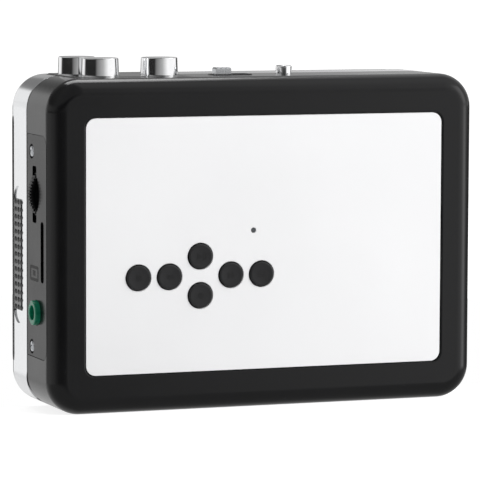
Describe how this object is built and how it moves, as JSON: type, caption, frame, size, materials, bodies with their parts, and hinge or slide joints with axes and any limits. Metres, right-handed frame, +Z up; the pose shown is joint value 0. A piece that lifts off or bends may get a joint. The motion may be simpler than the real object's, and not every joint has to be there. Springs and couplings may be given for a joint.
{
  "type": "cassette converter",
  "caption": "Pocket tape player with a light button panel in a black shell, a silver cassette door, chrome keys, volume wheel, card slot and earphone jack; saves tapes on a card.",
  "frame": {"origin": "middle of the width and of the depth of the case, on its flat bottom face", "axes": "+X to the right as seen from the button panel, +Y from the panel to the cassette door, +Z up to the keys"},
  "size_m": [0.1144, 0.0344, 0.0869],
  "materials": {
    "shell_black": "satin black moulded plastic",
    "panel_silver": "satin anodised, very light",
    "screw_steel": "plated screw",
    "board_green": "solder mask",
    "switch_black": "moulded",
    "lamp_grey": "smoked light guide",
    "socket_metal": "tinned sheet",
    "jack_green": "moulded green",
    "chassis_steel": "zinc plated sheet",
    "deck_black": "matt black moulded plastic",
    "bush_brass": "turned",
    "motor_steel": "drawn can",
    "belt_rubber": "ground rubber",
    "contact_steel": "nickel plated",
    "door_silver": "bright silver lacquer",
    "window_clear": "clear plastic",
    "grip_grey": "moulded dots",
    "key_chrome": "chrome plated plastic",
    "head_metal": "polished face",
    "roller_rubber": "ground rubber",
    "flywheel_metal": "turned",
    "spindle_white": "natural acetal",
    "wheel_black": "knurled",
    "button_black": "satin"
  },
  "bodies": {
    "case": {"front_shell": "shell_black", "front_panel": "panel_silver", "side_plate": "shell_black", "side_screws": "screw_steel", "main_board": "board_green", "tact_switches": "switch_black", "status_led": "lamp_grey", "card_socket": "socket_metal", "headphone_jack": "jack_green", "jack_board": "board_green", "volume_pot": "switch_black", "power_socket": "socket_metal", "top_switches": "switch_black", "chassis": "chassis_steel", "deck_plate": "deck_black", "deck_screws": "screw_steel", "capstan_bushes": "bush_brass", "motor": "motor_steel", "drive_belt": "belt_rubber", "battery_box": "deck_black", "battery_contacts": "contact_steel"},
    "door": {"door_shell": "door_silver", "door_window": "window_clear", "cassette_holder": "deck_black", "cassette_springs": "contact_steel", "door_grips": "grip_grey", "hinge_pins": "screw_steel"},
    "battery_lid": {"battery_cover": "deck_black"},
    "stop": {"stop_key": "key_chrome"},
    "wind": {"wind_key": "key_chrome"},
    "play": {"play_key": "key_chrome"},
    "heads": {"head_plate": "chassis_steel", "tape_head": "head_metal"},
    "arm_left": {"pinch_arm_left": "chassis_steel"},
    "arm_right": {"pinch_arm_right": "chassis_steel"},
    "roller_left": {"pinch_roller_left": "roller_rubber"},
    "roller_right": {"pinch_roller_right": "roller_rubber"},
    "capstan_left": {"flywheel_left": "flywheel_metal"},
    "capstan_right": {"flywheel_right": "flywheel_metal"},
    "rotor": {"motor_pulley": "bush_brass"},
    "reel_left": {"reel_spindle_left": "spindle_white"},
    "reel_right": {"reel_spindle_right": "spindle_white"},
    "idler_lever": {"idler_arm": "chassis_steel"},
    "idler": {"idler_wheel": "roller_rubber"},
    "mode": {"mode_slider": "key_chrome"},
    "direction": {"direction_button": "key_chrome"},
    "volume": {"volume_wheel": "wheel_black"},
    "push_far_left": {"button_far_left": "button_black"},
    "push_left": {"button_left": "button_black"},
    "push_up": {"button_up": "button_black"},
    "push_down": {"button_down": "button_black"},
    "push_right": {"button_right": "button_black"},
    "push_far_right": {"button_far_right": "button_black"}
  },
  "joints": [
    {"name": "door_hinge", "type": "hinge", "parent": "case", "child": "door", "pos_m": [0, 0.0047, 0.002], "axis": [-1, 0, 0], "range_deg": [0, 80]},
    {"name": "battery_lid_lift", "type": "slide", "parent": "case", "child": "battery_lid", "axis": [0, 1, 0], "range_m": [0, 0.007]},
    {"name": "stop_press", "type": "slide", "parent": "case", "child": "stop", "axis": [0, 0, -1], "range_m": [0, 0.0035], "stiffness_N_per_m": 250, "springref_m": -0.003},
    {"name": "wind_press", "type": "slide", "parent": "case", "child": "wind", "axis": [0, 0, -1], "range_m": [0, 0.0035], "stiffness_N_per_m": 250, "springref_m": -0.003},
    {"name": "play_press", "type": "slide", "parent": "case", "child": "play", "axis": [0, 0, -1], "range_m": [0, 0.0035], "stiffness_N_per_m": 250, "springref_m": -0.003},
    {"name": "head_slide", "type": "slide", "parent": "case", "child": "heads", "axis": [0, 0, -1], "range_m": [0, 0.0036]},
    {"name": "arm_left_swing", "type": "hinge", "parent": "case", "child": "arm_left", "pos_m": [-0.039, 0.0032, 0.071], "axis": [0, 1, 0], "range_deg": [0, 34]},
    {"name": "arm_right_swing", "type": "hinge", "parent": "case", "child": "arm_right", "pos_m": [0.039, 0.0032, 0.071], "axis": [0, -1, 0], "range_deg": [0, 34]},
    {"name": "roller_left_spin", "type": "hinge", "parent": "arm_left", "child": "roller_left", "pos_m": [-0.0245, 0.0072, 0.0726], "axis": [0, 1, 0], "continuous": true},
    {"name": "roller_right_spin", "type": "hinge", "parent": "arm_right", "child": "roller_right", "pos_m": [0.0245, 0.0072, 0.0726], "axis": [0, 1, 0], "continuous": true},
    {"name": "capstan_left_spin", "type": "hinge", "parent": "case", "child": "capstan_left", "pos_m": [-0.0235, -0.008, 0.0593], "axis": [0, 1, 0], "continuous": true},
    {"name": "capstan_right_spin", "type": "hinge", "parent": "case", "child": "capstan_right", "pos_m": [0.0235, -0.008, 0.0593], "axis": [0, 1, 0], "continuous": true},
    {"name": "motor_spin", "type": "hinge", "parent": "case", "child": "rotor", "pos_m": [0.0432, -0.009, 0.0415], "axis": [0, 1, 0], "continuous": true},
    {"name": "reel_left_spin", "type": "hinge", "parent": "case", "child": "reel_left", "pos_m": [-0.02125, 0.003, 0.0332], "axis": [0, 1, 0], "continuous": true},
    {"name": "reel_right_spin", "type": "hinge", "parent": "case", "child": "reel_right", "pos_m": [0.02125, 0.003, 0.0332], "axis": [0, 1, 0], "continuous": true},
    {"name": "idler_swing", "type": "hinge", "parent": "case", "child": "idler_lever", "pos_m": [0, -0.003, 0.052], "axis": [0, 1, 0], "range_deg": [-18, 18]},
    {"name": "idler_spin", "type": "hinge", "parent": "idler_lever", "child": "idler", "pos_m": [0, -0.005, 0.036], "axis": [0, 1, 0], "continuous": true},
    {"name": "mode_slide", "type": "slide", "parent": "case", "child": "mode", "axis": [1, 0, 0], "range_m": [0, 0.0044]},
    {"name": "direction_press", "type": "slide", "parent": "case", "child": "direction", "axis": [0, 0, -1], "range_m": [0, 0.0012], "stiffness_N_per_m": 250, "springref_m": -0.001},
    {"name": "volume_turn", "type": "hinge", "parent": "case", "child": "volume", "pos_m": [-0.0499, -0.0036, 0.0536], "axis": [0, 1, 0], "range_deg": [-135, 135]},
    {"name": "push_far_left", "type": "slide", "parent": "case", "child": "push_far_left", "axis": [0, 1, 0], "range_m": [0, 0.0006], "stiffness_N_per_m": 250, "springref_m": -0.0005},
    {"name": "push_left", "type": "slide", "parent": "case", "child": "push_left", "axis": [0, 1, 0], "range_m": [0, 0.0006], "stiffness_N_per_m": 250, "springref_m": -0.0005},
    {"name": "push_up", "type": "slide", "parent": "case", "child": "push_up", "axis": [0, 1, 0], "range_m": [0, 0.0006], "stiffness_N_per_m": 250, "springref_m": -0.0005},
    {"name": "push_down", "type": "slide", "parent": "case", "child": "push_down", "axis": [0, 1, 0], "range_m": [0, 0.0006], "stiffness_N_per_m": 250, "springref_m": -0.0005},
    {"name": "push_right", "type": "slide", "parent": "case", "child": "push_right", "axis": [0, 1, 0], "range_m": [0, 0.0006], "stiffness_N_per_m": 250, "springref_m": -0.0005},
    {"name": "push_far_right", "type": "slide", "parent": "case", "child": "push_far_right", "axis": [0, 1, 0], "range_m": [0, 0.0006], "stiffness_N_per_m": 250, "springref_m": -0.0005}
  ],
  "couplings": [
    {"joint": "head_slide", "follows": "play_press", "ratio": 1},
    {"joint": "arm_left_swing", "follows": "play_press", "rad_per_m": 168},
    {"joint": "arm_right_swing", "follows": "play_press", "rad_per_m": 168},
    {"joint": "capstan_right_spin", "follows": "capstan_left_spin", "ratio": -1},
    {"joint": "motor_spin", "follows": "capstan_left_spin", "ratio": 3.8571}
  ]
}
